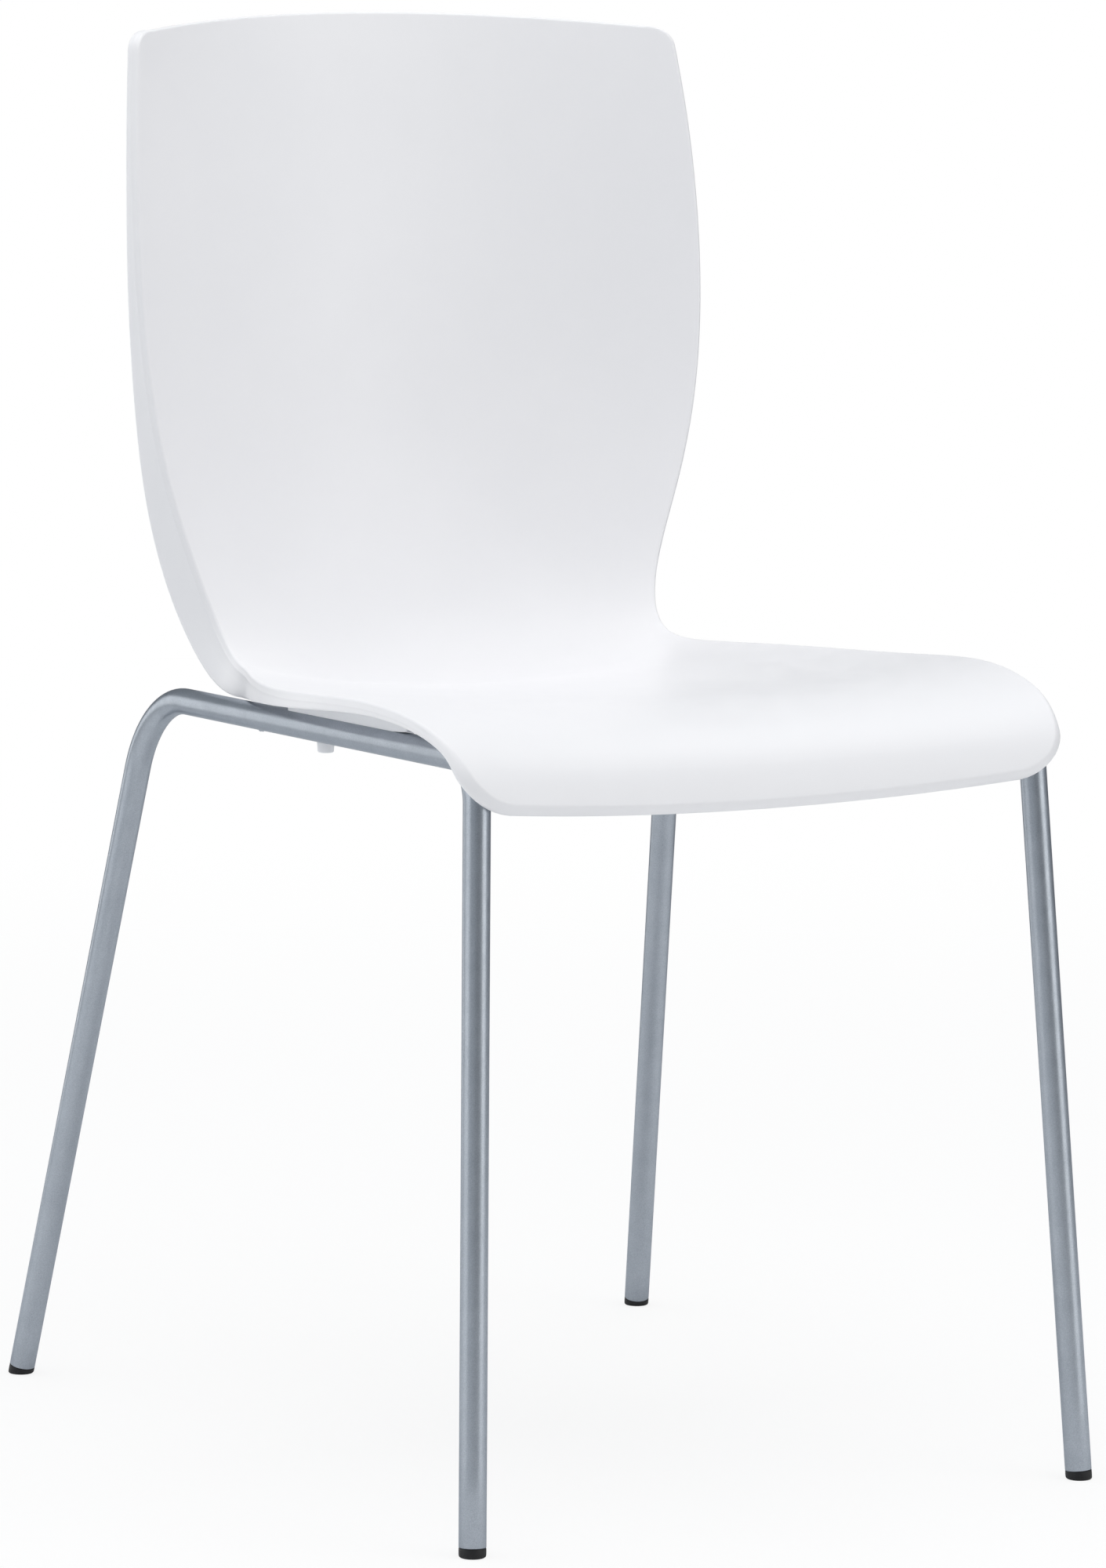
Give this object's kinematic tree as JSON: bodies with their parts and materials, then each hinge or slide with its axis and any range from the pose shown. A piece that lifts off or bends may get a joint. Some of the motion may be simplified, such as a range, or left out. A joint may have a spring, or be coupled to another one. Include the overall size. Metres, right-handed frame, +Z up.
{
  "type": "stacking chair",
  "caption": "Rigid stacking chair with a waisted one-piece moulded seat and back shell, returned rim and splayed bent-tube legs on push-in glides.",
  "frame": {"origin": "centre of the footprint on the floor", "axes": "+Z up, the sitter faces -Y, +X is the sitter's left"},
  "size_m": [0.47, 0.5722, 0.86],
  "materials": {
    "white_shell": "satin moulded polypropylene",
    "white_pad": "satin moulded plastic",
    "silver_frame": "silver-grey metallic powder coat",
    "black_glide": "matte moulded polyethylene",
    "zinc_screw": "bright zinc plate",
    "black_washer": "matte moulded nylon"
  },
  "bodies": {
    "root": {"seat_shell": "white_shell", "right_side_tube": "silver_frame", "left_side_tube": "silver_frame", "front_cross_tube": "silver_frame", "rear_cross_tube": "silver_frame", "frame_welds": "silver_frame", "right_seat_pad": "white_pad", "left_seat_pad": "white_pad", "front_right_glide": "black_glide", "front_left_glide": "black_glide", "rear_right_glide": "black_glide", "rear_left_glide": "black_glide", "fixing_screws": "zinc_screw", "saddle_washers": "black_washer"}
  },
  "joints": []
}
